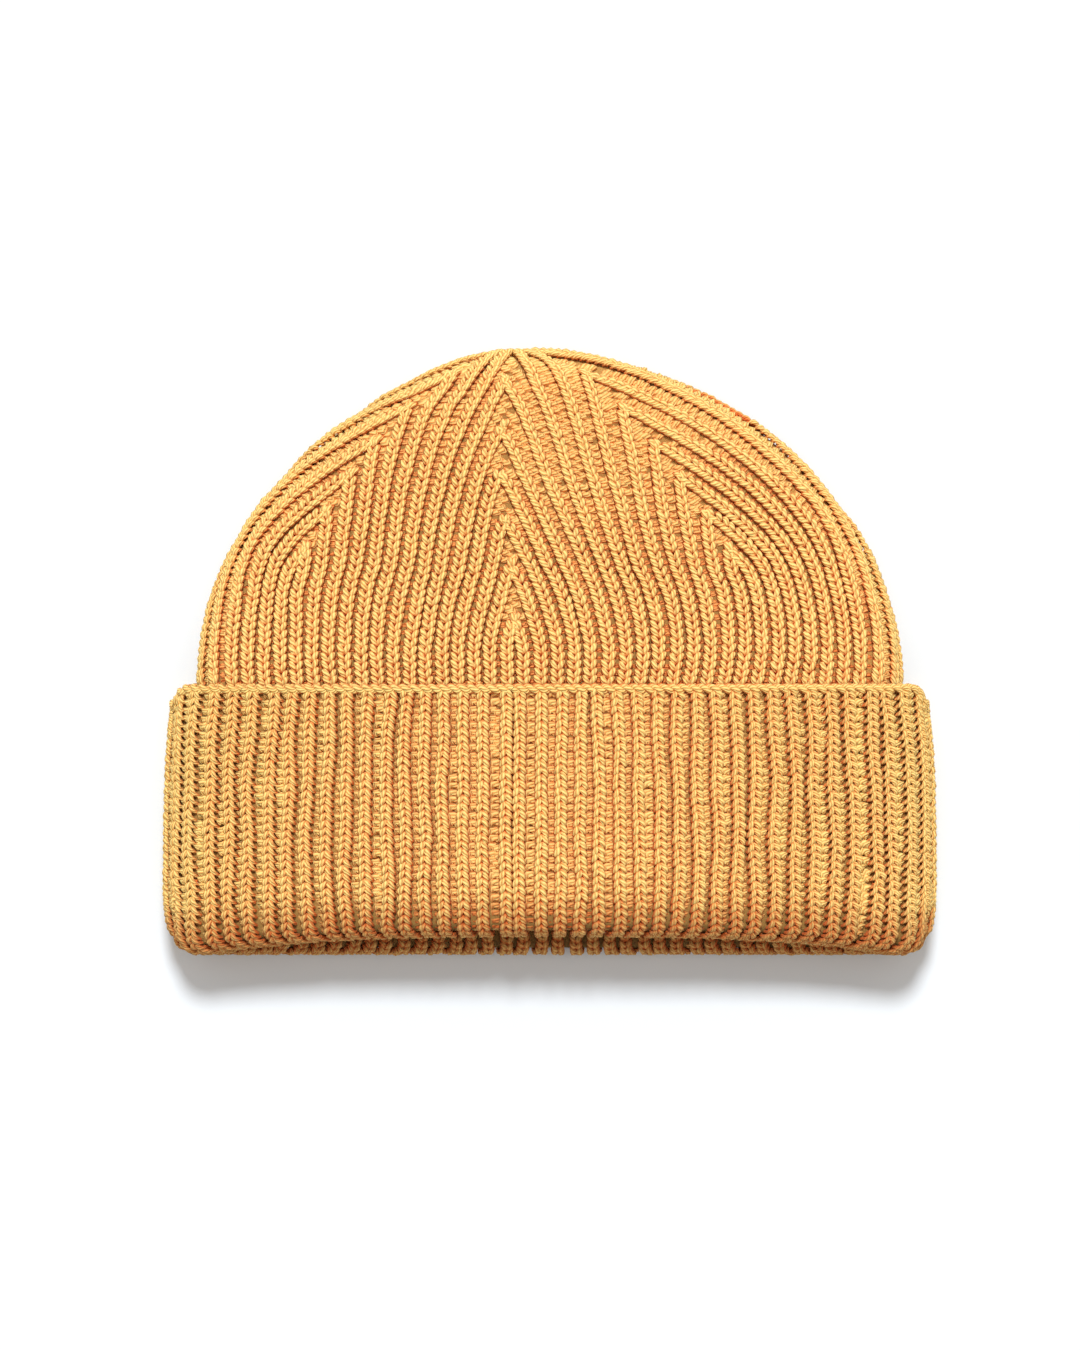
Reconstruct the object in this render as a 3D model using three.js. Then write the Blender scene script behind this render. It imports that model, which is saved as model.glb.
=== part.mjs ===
// A ribbed knit beanie with a turned-up cuff, lying flat on a surface with its
// seam side up. X runs across the hat, +Y points from the mouth to the crown's
// top, and +Z points up, away from the surface.
//
// The hat is one hollow knitted wall. It runs from the apex down inside the cuff,
// turns round the fold at the mouth and comes back up outside as the cuff, which
// ends in a rolled cast-on edge. The crown is shaped by six gores of parallel
// ribs, which end one after another at the six lines between the gores.
import * as THREE from 'three';

// Driving dimensions, in millimetres.
const CROWN_WIDTH = 207.4; // across the crown where it leaves the cuff
const CROWN_HEIGHT = 99; // from the cuff's top edge to the top of the crown
const CUFF_HEIGHT = 79.4; // from the fold at the mouth to the cuff's top edge
const WALL = 4.4; // the ribbed knit, from the crest of a rib to the inner face
const RIB_RELIEF = 1.5; // depth of the groove between two ribs
const LINE_CREASE = 0.7; // how far the wall dips along a line between two gores
const LAYER_GAP = 0.3; // clearance between the cuff and the wall inside it
const SIDE_SLACK = 2.6; // how far the cuff stands off the wall at its two sides
const SIDE_BEND = 6; // bend radius at the two sides, to the middle of the wall
const TOP_BEND = 10; // how far from the crown's top the wall starts to turn over
const MOUTH_RISE = 6.2; // how far the upper layer's fold draws back at the mouth
const MOUTH_DROOP = 5; // how far the upper layer sinks towards the fold at the mouth
const DROOP_LENGTH = 9; // over which that droop fades to about a third
const INNER_LEG = 15; // how far the fold's inner leg reaches up inside the mouth
const EDGE_HEIGHT = 2.3; // the rolled cast-on edge

// Counts.
const GORES = 6;
const RIBS_PER_GORE = 14;
const RIB_COLUMNS = [0, 0.27, 0.73]; // where the outer face has columns in a rib
const FOLD_COLUMNS = [0, 0.5]; // the same round the fold's inner half
const PLAIN_COLUMNS = [0]; // the same on the smooth inner face
const CREST_FROM = 0.27; // shares of a rib between which its crest runs
const CREST_TO = 0.73;
const CROWN_ROWS = 9;
const ROW_CROWDING = 1.5; // how much closer the rows are towards the apex
const FOLD_STEPS = 4;
const ROLL_STEPS = 5;
const DROOP_ROWS = [0.55, 0.23, 0.09]; // rows of the cuff above the fold, as shares of it

// Shares.
const APEX_ANGLE = THREE.MathUtils.degToRad(96.6); // along the outline, from the right
const OUTLINE_TAPER = 0.11; // how much slimmer than an ellipse the outline gets
const SIDE_LIFT = 0.45; // how far the rows climb from the middle to the sides
const LIFT_BEND = 1.3; // how late in a side gore that climb comes
const EDGE_SHARE = 0.12; // widest side bend, as a share of a row's half width
const RIBS_LEFT_AT_APEX = 2; // in each gore
const ENDING_BEND = 0.12; // how gradually the ribs start to run into a line

// How the crown changes from the cuff's top edge (height 0) to its top (height 1).
// The six lines between the gores are shares of the row's half width, from its
// middle. Dome and rest are shares of the walls' own sizes: dome of DOME_RISE, the
// height by which the upper layer bulges, and rest of the cuff layer under it.
const DOME_RISE = 9.5;
const CROWN_SHAPE = [
  {
    height: 0.0, left: -0.741, seam: -0.097, right: 0.563,
    backRight: 0.81, backSeam: 0.08, backLeft: -0.653, dome: 0.78, rest: 1.0,
  },
  {
    height: 0.16, left: -0.77, seam: -0.098, right: 0.61,
    backRight: 0.8, backSeam: 0.06, backLeft: -0.65, dome: 0.91, rest: 0.35,
  },
  {
    height: 0.335, left: -0.822, seam: -0.1, right: 0.66,
    backRight: 0.78, backSeam: 0.04, backLeft: -0.64, dome: 1.0, rest: 0.0,
  },
  {
    height: 0.647, left: -0.843, seam: -0.143, right: 0.678,
    backRight: 0.75, backSeam: 0.0, backLeft: -0.62, dome: 0.88, rest: 0.0,
  },
  {
    height: 0.825, left: -0.809, seam: -0.137, right: 0.663,
    backRight: 0.72, backSeam: 0.0, backLeft: -0.6, dome: 0.7, rest: 0.0,
  },
  {
    height: 0.902, left: -0.72, seam: -0.15, right: 0.675,
    backRight: 0.7, backSeam: 0.0, backLeft: -0.6, dome: 0.56, rest: 0.0,
  },
  {
    height: 1.0, left: -0.65, seam: -0.15, right: 0.7,
    backRight: 0.7, backSeam: 0.0, backLeft: -0.6, dome: 0.36, rest: 0.0,
  },
];

// How much wider than the crown's foot the wall inside the cuff is, from the fold
// (height 0) to the cuff's top edge (height 1), as shares of the crown's half width.
const CUFF_SHAPE = [
  { height: 0.0, width: 1.008 },
  { height: 0.12, width: 1.019 },
  { height: 0.35, width: 1.023 },
  { height: 0.7, width: 1.017 },
  { height: 1.0, width: 1.0 },
];

// The gores, in order round the hat: which line each one starts at, and where its
// ribs start to end at its first and at its last line, as heights of the crown.
const GORE_LINES = [
  { from: 'left', to: 'seam', firstEnds: 0.34, lastEnds: 0.17 },
  { from: 'seam', to: 'right', firstEnds: 0.17, lastEnds: 0.33 },
  { from: 'right', to: 'backRight', firstEnds: 0.33, lastEnds: 0.3, side: 1 },
  { from: 'backRight', to: 'backSeam', firstEnds: 0.3, lastEnds: 0.3 },
  { from: 'backSeam', to: 'backLeft', firstEnds: 0.3, lastEnds: 0.3 },
  { from: 'backLeft', to: 'left', firstEnds: 0.3, lastEnds: 0.34, side: -1 },
];

// What follows from the driving dimensions.
const RIBS = GORES * RIBS_PER_GORE;
const LAYER = WALL + LAYER_GAP; // from the middle of the wall to that of the cuff
const HALF_WIDTH = CROWN_WIDTH / 2 - WALL / 2;
const CUFF_TOP = (CUFF_HEIGHT - CROWN_HEIGHT) / 2; // Y of the cuff's top edge
const MOUTH = CUFF_TOP - CUFF_HEIGHT; // Y of the fold of the layer underneath
const FOLD_RADIUS = LAYER / 2; // to the middle of the wall, as it turns round
const RISE = CROWN_HEIGHT - WALL / 2; // height of the crown's outline, mid-wall
const PATH_FLAT = RISE - TOP_BEND;
const PATH_END = PATH_FLAT + (Math.PI / 2) * TOP_BEND * 0.93;

// A value between the rows of a table, on a smooth curve through them.
function along(table, column, height) {
  const last = table.length - 1;
  const h = THREE.MathUtils.clamp(height, table[0].height, table[last].height);
  let i = 0;
  while (i < last - 1 && h > table[i + 1].height) i++;
  const slope = (a, b) => (table[b][column] - table[a][column]) / (table[b].height - table[a].height);
  const span = table[i + 1].height - table[i].height;
  const s = (h - table[i].height) / span;
  const startSlope = slope(Math.max(i - 1, 0), i + 1);
  const endSlope = slope(i, Math.min(i + 2, last));
  return (1 + 2 * s) * (1 - s) ** 2 * table[i][column] + s * (1 - s) ** 2 * span * startSlope
    + s * s * (3 - 2 * s) * table[i + 1][column] + s * s * (s - 1) * span * endSlope;
}

// A point of the crown's outline in plan, by its angle from the right-hand foot.
function outline(angle) {
  const up = Math.sin(angle);
  return { x: HALF_WIDTH * Math.cos(angle) * (1 - OUTLINE_TAPER * up ** 3), y: RISE * up };
}

// One row of the knit, at a distance along the wall from the cuff's top edge.
function rowAt(path) {
  const turned = Math.max(0, (path - PATH_FLAT) / TOP_BEND);
  const flat = Math.min(Math.max(path, 0), PATH_FLAT);
  const height = (flat + TOP_BEND * Math.sin(turned)) / RISE;
  const climb = (2 / Math.PI) * Math.asin(Math.min(height, 1)) + SIDE_LIFT * height * (1 - height);
  const right = outline(APEX_ANGLE * climb);
  const left = outline(Math.PI - (Math.PI - APEX_ANGLE) * climb);
  const halfWidth = (right.x - left.x) / 2;
  return {
    height, left, right, halfWidth,
    middle: (right.x + left.x) / 2,
    y: height * RISE * Math.sin(APEX_ANGLE),
    bend: Math.min(SIDE_BEND, EDGE_SHARE * halfWidth),
    swell: Math.cos(turned),
    dome: DOME_RISE * along(CROWN_SHAPE, 'dome', height),
    floor: WALL / 2 + LAYER * Math.max(0, along(CROWN_SHAPE, 'rest', height)),
    line: (name) => along(CROWN_SHAPE, name, height),
  };
}

// Where a place between two gore lines lies round a row: its x, whether it is on
// the upper layer, how far it has turned round the side, and how near the side it is.
function roundTheRow(row, gore, share) {
  const { from, to, side } = GORE_LINES[gore];
  const start = row.line(from);
  const end = row.line(to);
  if (!side) {
    const x = row.middle + row.halfWidth * (start + (end - start) * share);
    return { x, upper: gore < 2, turn: 0, reach: 0, side: 1 };
  }
  const quarter = (Math.PI / 2) * row.bend;
  const straight = (line) => row.halfWidth * (1 - Math.abs(line)) - row.bend;
  const first = straight(start) + quarter;
  const second = straight(end) + quarter;
  const gone = share * (first + second);
  const before = gone < first;
  const fromLine = before ? gone : first + second - gone;
  const line = before ? start : end;
  const bent = Math.max(0, fromLine - straight(line));
  const turn = bent / row.bend;
  const flat = row.halfWidth * Math.abs(line) + Math.min(fromLine, straight(line));
  return {
    x: row.middle + side * (flat + row.bend * Math.sin(turn)),
    upper: before === (side > 0),
    turn, side,
    reach: fromLine / (before ? first : second),
  };
}

// The middle of the crown's wall at a share of a gore and a distance up the wall.
function crownMiddle(gore, share, path) {
  const row = rowAt(path);
  const place = roundTheRow(row, gore, share);
  const fold = place.side > 0 ? row.right : row.left;
  const y = row.y + (fold.y - row.y) * place.reach ** LIFT_BEND;
  const across = (place.x - row.middle) / row.halfWidth;
  const bulge = row.dome * Math.max(0, 1 - across * across);
  const rise = SIDE_BEND * Math.cos(place.turn) + (place.upper ? bulge : 0);
  const z = row.floor + SIDE_BEND + (place.upper ? 1 : -1) * rise * row.swell;
  return new THREE.Vector3(place.x, CUFF_TOP + y, z);
}

// The same point moved out along the wall's normal.
function crownPoint(gore, share, path, out) {
  const step = 0.004;
  const a = crownMiddle(gore, Math.max(share - step, 0), path);
  const b = crownMiddle(gore, Math.min(share + step, 1), path);
  const c = crownMiddle(gore, share, path - RISE * step);
  const d = crownMiddle(gore, share, path + RISE * step);
  const normal = b.sub(a).cross(d.sub(c)).normalize();
  return crownMiddle(gore, share, path).addScaledVector(normal, out);
}

// The straight tube below the crown: the wall inside the cuff (out 0) and the cuff
// itself (out LAYER). Up runs from the mouth's fold (0) to the cuff's top edge.
function tubePoint(gore, share, up, out) {
  const row = rowAt(0);
  const outside = THREE.MathUtils.smoothstep(out, WALL / 2, LAYER - WALL / 2);
  row.halfWidth *= along(CUFF_SHAPE, 'width', up / CUFF_HEIGHT);
  row.halfWidth += out + SIDE_SLACK * outside;
  row.bend = SIDE_BEND + out;
  const place = roundTheRow(row, gore, share);
  const across = (place.x - row.middle) / row.halfWidth;
  const bulge = place.upper ? row.dome * Math.max(0, 1 - across * across) : 0;
  const drawnBack = place.upper ? MOUTH_RISE * Math.max(0, 1 - Math.abs(across) ** 3) : 0;
  const y = MOUTH + drawnBack + up * (1 - drawnBack / CUFF_HEIGHT);
  const droop = MOUTH_DROOP * Math.exp(-up / DROOP_LENGTH) * Math.max(0, 1 - across ** 4);
  const rise = row.bend * Math.cos(place.turn) + bulge - (place.upper ? droop : 0);
  return new THREE.Vector3(place.x, y, row.floor + SIDE_BEND + (place.upper ? rise : -rise));
}

// How many ribs of a gore have ended at its first and last line by a row.
function endedRibs(gore, height) {
  const { firstEnds, lastEnds } = GORE_LINES[gore];
  const most = (RIBS_PER_GORE - RIBS_LEFT_AT_APEX) / 2;
  const ended = (start) => {
    const gone = Math.max(0, (height - start) / (1 - start));
    return (most * gone * gone * (1 + ENDING_BEND)) / (gone + ENDING_BEND);
  };
  return { first: ended(firstEnds), last: ended(lastEnds) };
}

// How far the outer face lies below the crests at a place in a rib.
function groove(inRib, toLine) {
  const crest = inRib >= CREST_FROM && inRib <= CREST_TO;
  return crest ? RIB_RELIEF * Math.max(0, 1 - 2 * toLine) : RIB_RELIEF;
}

// A ring of vertices round the hat. Columns past the end of their rib all take the
// vertex on the gore's line.
function ring(solid, columns, place) {
  const entries = [];
  const known = new Map();
  for (let gore = 0; gore < GORES; gore++) {
    for (let rib = 0; rib < RIBS_PER_GORE; rib++) {
      for (const column of columns) {
        const spot = place(gore, rib, column);
        let key = `${gore} ${rib} ${column}`;
        if (spot.share <= 0) key = `line ${gore}`;
        if (spot.share >= 1) key = `line ${(gore + 1) % GORES}`;
        if (!known.has(key)) {
          known.set(key, solid.positions.length / 3);
          solid.positions.push(...spot.point().toArray());
        }
        entries.push({ at: gore * RIBS_PER_GORE + rib + column, index: known.get(key) });
      }
    }
  }
  entries.push({ at: RIBS, index: entries[0].index });
  return entries;
}

// A ring that is one vertex, which closes the crown at its apex.
function tip(solid, point) {
  const index = solid.positions.length / 3;
  solid.positions.push(...point.toArray());
  return [{ at: 0, index }, { at: RIBS, index }];
}

// The faces between two rings, taking the nearer next column each time.
function band(solid, lower, upper) {
  let i = 0;
  let j = 0;
  while (i < lower.length - 1 || j < upper.length - 1) {
    const nextLower = i < lower.length - 1 ? lower[i + 1].at : Infinity;
    const nextUpper = j < upper.length - 1 ? upper[j + 1].at : Infinity;
    const a = lower[i].index;
    const b = upper[j].index;
    const c = nextLower <= nextUpper ? lower[++i].index : upper[++j].index;
    if (a !== b && b !== c && a !== c) solid.faces.push(a, b, c);
  }
}

// A closed solid from its rings, each joined to the next.
function solidFrom(makeRings, joinEnds) {
  const solid = { positions: [], faces: [] };
  const rings = makeRings(solid);
  for (let i = 0; i + 1 < rings.length; i++) band(solid, rings[i], rings[i + 1]);
  if (joinEnds) band(solid, rings[rings.length - 1], rings[0]);
  const geometry = new THREE.BufferGeometry();
  geometry.setAttribute('position', new THREE.Float32BufferAttribute(solid.positions, 3));
  geometry.setIndex(solid.faces);
  geometry.computeVertexNormals();
  return geometry;
}

// A ring of the straight tube, at a height above the fold and an offset outwards.
function tubeRing(solid, columns, up, out, relief = 0) {
  return ring(solid, columns, (gore, rib, column) => {
    const share = (rib + column) / RIBS_PER_GORE;
    const deep = Math.sign(relief) * groove(column, 1);
    const turned = Math.abs(relief);
    const lift = deep * Math.sqrt(1 - turned * turned);
    return { share, point: () => tubePoint(gore, share, up + lift, out - deep * turned) };
  });
}

// A ring of the crown, at a distance up the wall.
function crownRing(solid, columns, path, outer) {
  const { height } = rowAt(path);
  return ring(solid, columns, (gore, rib, column) => {
    const ended = endedRibs(gore, height);
    const left = RIBS_PER_GORE - ended.first - ended.last;
    const share = THREE.MathUtils.clamp((rib + column - ended.first) / left, 0, 1);
    const toLine = Math.min(share, 1 - share) * left;
    const started = THREE.MathUtils.smoothstep(height, 0.12, 0.4);
    const crease = LINE_CREASE * started * Math.max(0, 1 - toLine);
    const out = outer ? WALL / 2 - groove(column, toLine) - crease : -WALL / 2;
    return { share, point: () => crownPoint(gore, share, path, out) };
  });
}

// The crown: its outer face from the apex down to the fold's inner leg, and back
// up its smooth inner face.
function crown() {
  return solidFrom((solid) => {
    const foot = INNER_LEG + LAYER_GAP;
    const rows = [];
    for (let i = 0; i <= CROWN_ROWS; i++) {
      rows.push(PATH_END * (1 - (i / CROWN_ROWS) ** ROW_CROWDING));
    }
    const apex = crownMiddle(0, 1, PATH_END);
    const outside = apex.clone().add(new THREE.Vector3(0, WALL / 2, 0));
    const inside = apex.clone().add(new THREE.Vector3(0, -WALL / 2, 0));
    const turnAt = FOLD_RADIUS + WALL / 2;
    const wallUps = [turnAt + (CUFF_HEIGHT - turnAt) * DROOP_ROWS[1], foot];
    return [
      tip(solid, outside),
      ...rows.map((path) => crownRing(solid, RIB_COLUMNS, path, true)),
      ...wallUps.map((up) => tubeRing(solid, RIB_COLUMNS, up, WALL / 2, 1)),
      ...wallUps.reverse().map((up) => tubeRing(solid, PLAIN_COLUMNS, up, -WALL / 2)),
      ...rows.reverse().map((path) => crownRing(solid, PLAIN_COLUMNS, path, false)),
      tip(solid, inside),
    ];
  }, false);
}

// The cuff: down its ribbed outer face, round the fold and up the inner leg, then
// back down the gap between the two layers.
function cuff() {
  const top = CUFF_HEIGHT - EDGE_HEIGHT - LAYER_GAP;
  const turnAt = FOLD_RADIUS + WALL / 2;
  const face = [1, ...DROOP_ROWS].map((share) => turnAt + (top - turnAt) * share);
  return solidFrom((solid) => {
    const fold = Array.from({ length: FOLD_STEPS + 1 }, (_, i) => {
      const angle = (Math.PI * i) / FOLD_STEPS;
      const up = turnAt - turnAt * Math.sin(angle);
      const out = FOLD_RADIUS + turnAt * Math.cos(angle);
      return tubeRing(solid, angle < 2 ? RIB_COLUMNS : FOLD_COLUMNS, up, out, Math.cos(angle) || 1e-9);
    });
    return [
      ...face.map((up) => tubeRing(solid, RIB_COLUMNS, up, LAYER + WALL / 2, 1)),
      ...fold,
      tubeRing(solid, FOLD_COLUMNS, INNER_LEG, -WALL / 2, -1),
      tubeRing(solid, PLAIN_COLUMNS, INNER_LEG, WALL / 2),
      tubeRing(solid, PLAIN_COLUMNS, turnAt, WALL / 2),
      tubeRing(solid, PLAIN_COLUMNS, turnAt, LAYER - WALL / 2),
      tubeRing(solid, PLAIN_COLUMNS, face[3], LAYER - WALL / 2),
      tubeRing(solid, PLAIN_COLUMNS, face[2], LAYER - WALL / 2),
      tubeRing(solid, PLAIN_COLUMNS, top, LAYER - WALL / 2),
    ];
  }, true);
}

// The rolled cast-on edge that finishes the cuff's top.
function castOnEdge() {
  return solidFrom((solid) => Array.from({ length: ROLL_STEPS }, (_, i) => {
    const angle = (2 * Math.PI * i) / ROLL_STEPS;
    const up = CUFF_HEIGHT - (EDGE_HEIGHT / 2) * (1 - Math.sin(angle));
    return tubeRing(solid, PLAIN_COLUMNS, up, LAYER - (WALL / 2) * Math.cos(angle) * 0.95);
  }), true);
}

const knit = () => new THREE.MeshStandardMaterial({ color: 0xe3ac63, roughness: 0.95, metalness: 0 });

// The pieces, moved together so that the hat lies on z = 0, centred in x and y.
const pieces = { crown: crown(), cuff: cuff(), cast_on_edge: castOnEdge() };
const box = new THREE.Box3();
for (const geometry of Object.values(pieces)) {
  geometry.computeBoundingBox();
  box.union(geometry.boundingBox);
}
const middle = box.getCenter(new THREE.Vector3());

const beanie = new THREE.Group();
beanie.name = 'beanie';
for (const [name, geometry] of Object.entries(pieces)) {
  geometry.translate(-middle.x, -middle.y, -box.min.z);
  const mesh = new THREE.Mesh(geometry, knit());
  mesh.name = name;
  beanie.add(mesh);
}

export default beanie;
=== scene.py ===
import math

import bpy
import numpy as np
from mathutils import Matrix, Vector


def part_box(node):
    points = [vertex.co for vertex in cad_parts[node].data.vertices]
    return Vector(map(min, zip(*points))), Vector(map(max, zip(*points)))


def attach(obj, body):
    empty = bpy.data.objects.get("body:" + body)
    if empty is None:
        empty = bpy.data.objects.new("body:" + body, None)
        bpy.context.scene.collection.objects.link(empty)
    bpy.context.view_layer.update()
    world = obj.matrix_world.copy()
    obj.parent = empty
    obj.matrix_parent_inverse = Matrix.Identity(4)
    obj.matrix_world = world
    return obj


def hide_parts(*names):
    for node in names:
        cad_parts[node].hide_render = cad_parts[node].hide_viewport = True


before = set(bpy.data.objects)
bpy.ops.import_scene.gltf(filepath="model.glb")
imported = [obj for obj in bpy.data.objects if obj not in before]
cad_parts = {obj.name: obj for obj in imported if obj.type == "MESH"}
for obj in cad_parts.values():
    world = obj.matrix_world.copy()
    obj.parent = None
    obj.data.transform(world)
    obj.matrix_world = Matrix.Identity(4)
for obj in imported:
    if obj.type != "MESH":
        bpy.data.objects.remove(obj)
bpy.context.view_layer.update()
rng = np.random.default_rng(7)

# The hat's sizes, in millimetres, as in the solids' source.
CROWN_WIDTH = 207.4
CROWN_HEIGHT = 99.0
CUFF_HEIGHT = 79.4
WALL = 4.4
LINE_CREASE = 0.35
LAYER_GAP = 0.3
SIDE_SLACK = 2.6
SIDE_BEND = 6.0
TOP_BEND = 10.0
MOUTH_RISE = 6.2
MOUTH_DROOP = 5.0
DROOP_LENGTH = 9.0
EDGE_HEIGHT = 2.3
DOME_RISE = 9.5
GORES = 6
RIBS_PER_GORE = 14
ALL_RIBS = GORES * RIBS_PER_GORE
APEX_ANGLE = math.radians(96.6)
OUTLINE_TAPER = 0.11
SIDE_LIFT = 0.45
LIFT_BEND = 1.3
EDGE_SHARE = 0.12
RIBS_LEFT_AT_APEX = 2
ENDING_BEND = 0.12

# By share of the crown's height: where the lines between its gores lie, in shares of
# half its width, and how much of the dome and of the cuff under it there is.
CROWN_SHAPE = {
    "height": [0.0, 0.16, 0.335, 0.647, 0.825, 0.902, 1.0],
    "left": [-0.741, -0.77, -0.822, -0.843, -0.809, -0.72, -0.65],
    "seam": [-0.097, -0.098, -0.1, -0.143, -0.137, -0.15, -0.15],
    "right": [0.563, 0.61, 0.66, 0.678, 0.663, 0.675, 0.7],
    "backRight": [0.81, 0.8, 0.78, 0.75, 0.72, 0.7, 0.7],
    "backSeam": [0.08, 0.06, 0.04, 0.0, 0.0, 0.0, 0.0],
    "backLeft": [-0.653, -0.65, -0.64, -0.62, -0.6, -0.6, -0.6],
    "dome": [0.78, 0.91, 1.0, 0.88, 0.7, 0.56, 0.36],
    "rest": [1.0, 0.35, 0.0, 0.0, 0.0, 0.0, 0.0],
}
CUFF_SHAPE = {
    "height": [0.0, 0.12, 0.35, 0.7, 1.0],
    "width": [1.008, 1.019, 1.023, 1.017, 1.0],
}
# Each gore's first and last line, the heights where ribs start to end at them, and
# the side of the hat that the gore goes round.
GORE_LINES = [
    ("left", "seam", 0.34, 0.09, 0),
    ("seam", "right", 0.09, 0.33, 0),
    ("right", "backRight", 0.33, 0.3, 1),
    ("backRight", "backSeam", 0.3, 0.3, 0),
    ("backSeam", "backLeft", 0.3, 0.3, 0),
    ("backLeft", "left", 0.3, 0.34, -1),
]
UPPER_GORES = 2  # the first ones, which lie on top

LAYER = WALL + LAYER_GAP
HALF_WIDTH = CROWN_WIDTH / 2 - WALL / 2
CUFF_TOP = (CUFF_HEIGHT - CROWN_HEIGHT) / 2
MOUTH = CUFF_TOP - CUFF_HEIGHT
FOLD_RADIUS = LAYER / 2
RISE = CROWN_HEIGHT - WALL / 2
PATH_FLAT = RISE - TOP_BEND
TOP_TURN = 0.93  # share of a quarter turn that the wall makes at the top
PATH_END = PATH_FLAT + math.pi / 2 * TOP_BEND * TOP_TURN
PATH_SPARE = 0.2  # mm that the knit stops short of that
SHIFT = np.array([0.0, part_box("cuff")[0].y * 1000 - MOUTH, 0.0])

# The yarn and its rows. Lengths are in mm here too.
YARN = 0.82  # radius
YARN_HIGH, YARN_WIDE = 0.95, 1.14  # its section, pressed flat
YARN_SIDES = 5
ROW = 2.36  # from one row of stitches to the next
GATHERED, GATHERED_FROM = 0.8, 0.9  # thicker at the top, from this share of the height
CREASE_FROM, CREASE_FULL = 0.12, 0.4  # shares of the height, for the crease at the lines

# The cuff: its face runs down to the fold, and the stitches go on up inside.
TURN_AT = FOLD_RADIUS + WALL / 2
FACE = CUFF_HEIGHT - TURN_AT
INSIDE = 18.0
REACH = FACE + math.pi * TURN_AT + INSIDE - TURN_AT
CUFF_HALF = HALF_WIDTH + LAYER + SIDE_SLACK + 0.3  # from its middle to its corners
CORNER, CORNER_FADE = 4.5, 16  # rounding of its top corners, and how far down it goes
LOW_CORNER, LOW_FADE = 9.0, 18  # and of its lower ones, and how far up
LOW_DROP = 0.55  # how much of that rounding the lower ones have

# Painted shade: how much darker and redder the wool's colour is made where shade falls. Depths
# are in mm, as "sunk" below.
RIM_SHADE = 0.4  # painted shade: the sides of the yarn look this much deeper
OPEN_SHADE = 0.4  # share of the painted shade left where the knit opens at a bend
FOLD_BEFORE, FOLD_BEYOND = 12, 4  # before the fold, where its painted shade and deeper gutters start; where they are full
FOLD_SHADE = 0.6  # painted shade: deeper that it looks there
FOLD_GROOVE = 1.2  # deeper that its gutters are there
PAINTED_FOLD_DIMMING = 0.33  # painted shade: share of its brightness that it loses there
BACKING_SUNK = -0.3  # painted shade of the cloth behind the stitches
BACKING_DEPTH, BACKING_ROWS, BACKING_PER_RIB = -2.4, 60, 2
SUNK_DARK, SUNK_LIGHT = -1.8, -0.15  # depths painted fully in PAINTED_HOLLOW_SHADE, and in the wool's own colour
PAINTED_HOLLOW_SHADE = (0.86, 0.18, 0.037)  # painted shade: the wool's colour deep between the stitches

# One leg of a knit stitch, point by point: shares of the widest reach across and of a
# row along, its depth under the crest and its radius, both in yarn radii, and how
# much deeper its painted shade makes it look.
LEG_ACROSS = np.array([0.02, 0.24, 0.54, 0.84, 1.06, 1.12])
LEG_ALONG = np.array([-0.12, 0.12, 0.40, 0.70, 1.00, 1.28])
LEG_DEPTH = np.array([-1.6, -0.6, -0.16, 0.0, -0.3, -1.5])
LEG_RADIUS = np.array([0.72, 0.94, 1.04, 1.06, 0.92, 0.6])
LEG_SHADE = np.array([-1.1, -0.4, 0.0, 0.0, 0.0, -0.3])

# A purl bump between two knit columns, in the same way: its painted shade follows its depth.
BUMP_ACROSS = np.array([0.0, 0.3, 0.7, 1.0])
BUMP_ALONG = np.array([0.5, 0.0, 0.0, 0.5])
BUMP_DEPTH = np.array([-1.0, -0.06, -0.06, -1.0])
BUMP_RADIUS = np.array([0.75, 1.04, 1.04, 0.75])
BUMP_WIDTH = 3.0  # a wider gutter has more than one
BUMP_STAGGER = 0.45  # of a row, between two in one gutter
BUMP_RELIEF = 0.42  # share of its own relief that its painted shade follows

# Purl in gutters of three widths: its yarn's radius, its depth, and how much of that
# depth it shows as painted shade in narrow and in wide ones.
GUTTERS = [0.3, 1.2, 2.6]
PURL_FAT = [0.82, 0.98, 1.06]
SHADED_GUTTERS = [1.0, 2.8]
CROWN_PURL, CROWN_SHADES = [1.95, 1.75, 1.25], [0.68, 0.4]
CUFF_PURL, CUFF_SHADES = [1.7, 1.35, 1.05], [0.55, 0.36]
SIDE_PURL = 0.55  # how much higher it is towards the cuff's ends
SIDE_FROM, SIDE_FULL = 50, 100  # where that starts and is full, from the middle

# How far a knit leg reaches from its column's middle, at least and at most. A stretched
# crown leg reaches less.
LEAST_REACH, CROWN_REACH, CUFF_REACH = 0.3, 1.36, 1.26
STRETCHED, STRETCH_LOSS = 5.3, 0.3  # from this pitch on, and per mm up to one more

# How unlike the stitches are: spreads of a leg's and of a bump's thickness and
# width (shares), of its place along (rows), and sideways and up (mm).
LEG_FAT, LEG_WIDE, LEG_SLIP, LEG_SLANT, LEG_LIFT = 0.04, 0.06, 0.04, 0.05, 0.07
BUMP_FAT, BUMP_SLIP, BUMP_LIFT = 0.08, 0.08, 0.12
STEP_SPREAD = 0.12  # rows that a rib is out of step with the next
RISE_SPREAD = 0.13  # mm that the cuff's purl is higher in one gutter than in the next
WAVES = ((7, 34), (11, 19), (17, 13), (26, 23))  # of drift: round the hat, and rows long

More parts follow.
